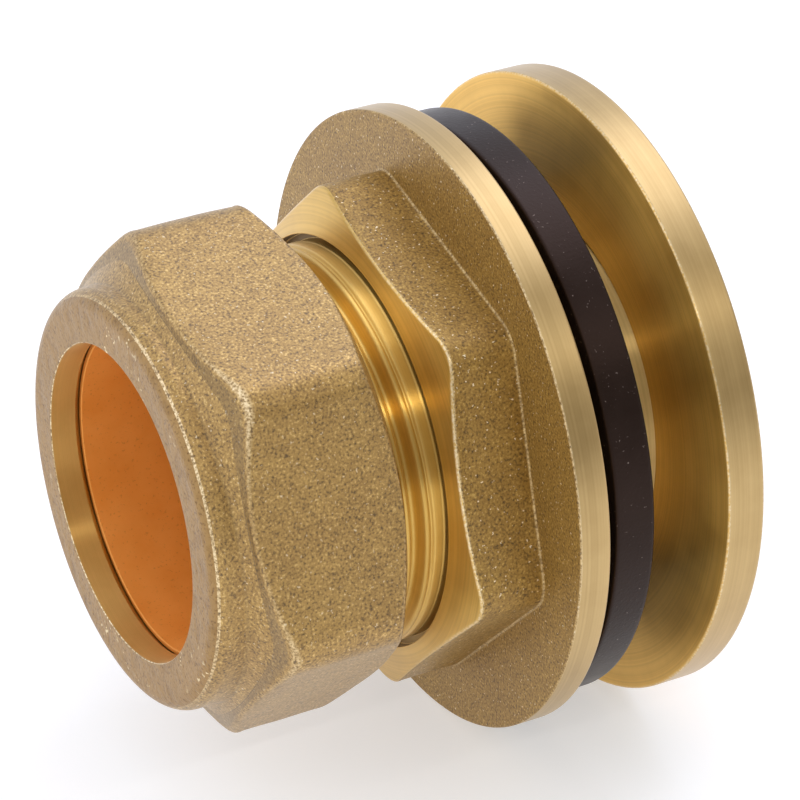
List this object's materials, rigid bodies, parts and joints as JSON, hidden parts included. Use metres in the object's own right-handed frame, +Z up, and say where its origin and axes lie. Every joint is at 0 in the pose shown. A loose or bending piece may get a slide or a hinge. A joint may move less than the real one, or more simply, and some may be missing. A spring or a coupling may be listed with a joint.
{
  "type": "tank connector",
  "caption": "Brass flanged tank connector: compression end with nut and copper olive for pipe, hexagon, flange, rubber washer and backnut on a threaded tail.",
  "frame": {"origin": "centre of the flange's sealing face, where the tank wall is clamped", "axes": "+X along the pipe axis, out of the tail into the tank; the pipe goes in from -X; +Z up as fitted in an upright tank wall"},
  "size_m": [0.0421, 0.045, 0.045],
  "materials": {
    "forged_brass": "shot-blasted forging with turned faces",
    "turned_brass": "turned, with fine tool marks",
    "copper": "satin copper",
    "black_rubber": "matt black rubber"
  },
  "bodies": {
    "connector": {"connector_body": "forged_brass"},
    "olive": {"olive": "copper"},
    "nut": {"compression_nut": "forged_brass"},
    "washer": {"sealing_washer": "black_rubber"},
    "backnut": {"backnut": "turned_brass"}
  },
  "joints": [
    {"name": "nut_travel", "type": "slide", "parent": "connector", "child": "olive", "axis": [-1, 0, 0], "range_m": [0, 0.00451]},
    {"name": "nut_turn", "type": "hinge", "parent": "olive", "child": "nut", "pos_m": [-0.0185, 0, 0], "axis": [-1, 0, 0], "range_deg": [0, 1080]},
    {"name": "backnut_turn", "type": "hinge", "parent": "connector", "child": "washer", "pos_m": [0.00265, 0, 0], "axis": [1, 0, 0], "range_deg": [-900, 1080]},
    {"name": "backnut_travel", "type": "slide", "parent": "washer", "child": "backnut", "axis": [1, 0, 0], "range_m": [-0.00455, 0.00545]}
  ],
  "couplings": [
    {"joint": "nut_travel", "follows": "nut_turn", "m_per_rad": 0.00023873},
    {"joint": "backnut_travel", "follows": "backnut_turn", "m_per_rad": 0.00028871}
  ]
}
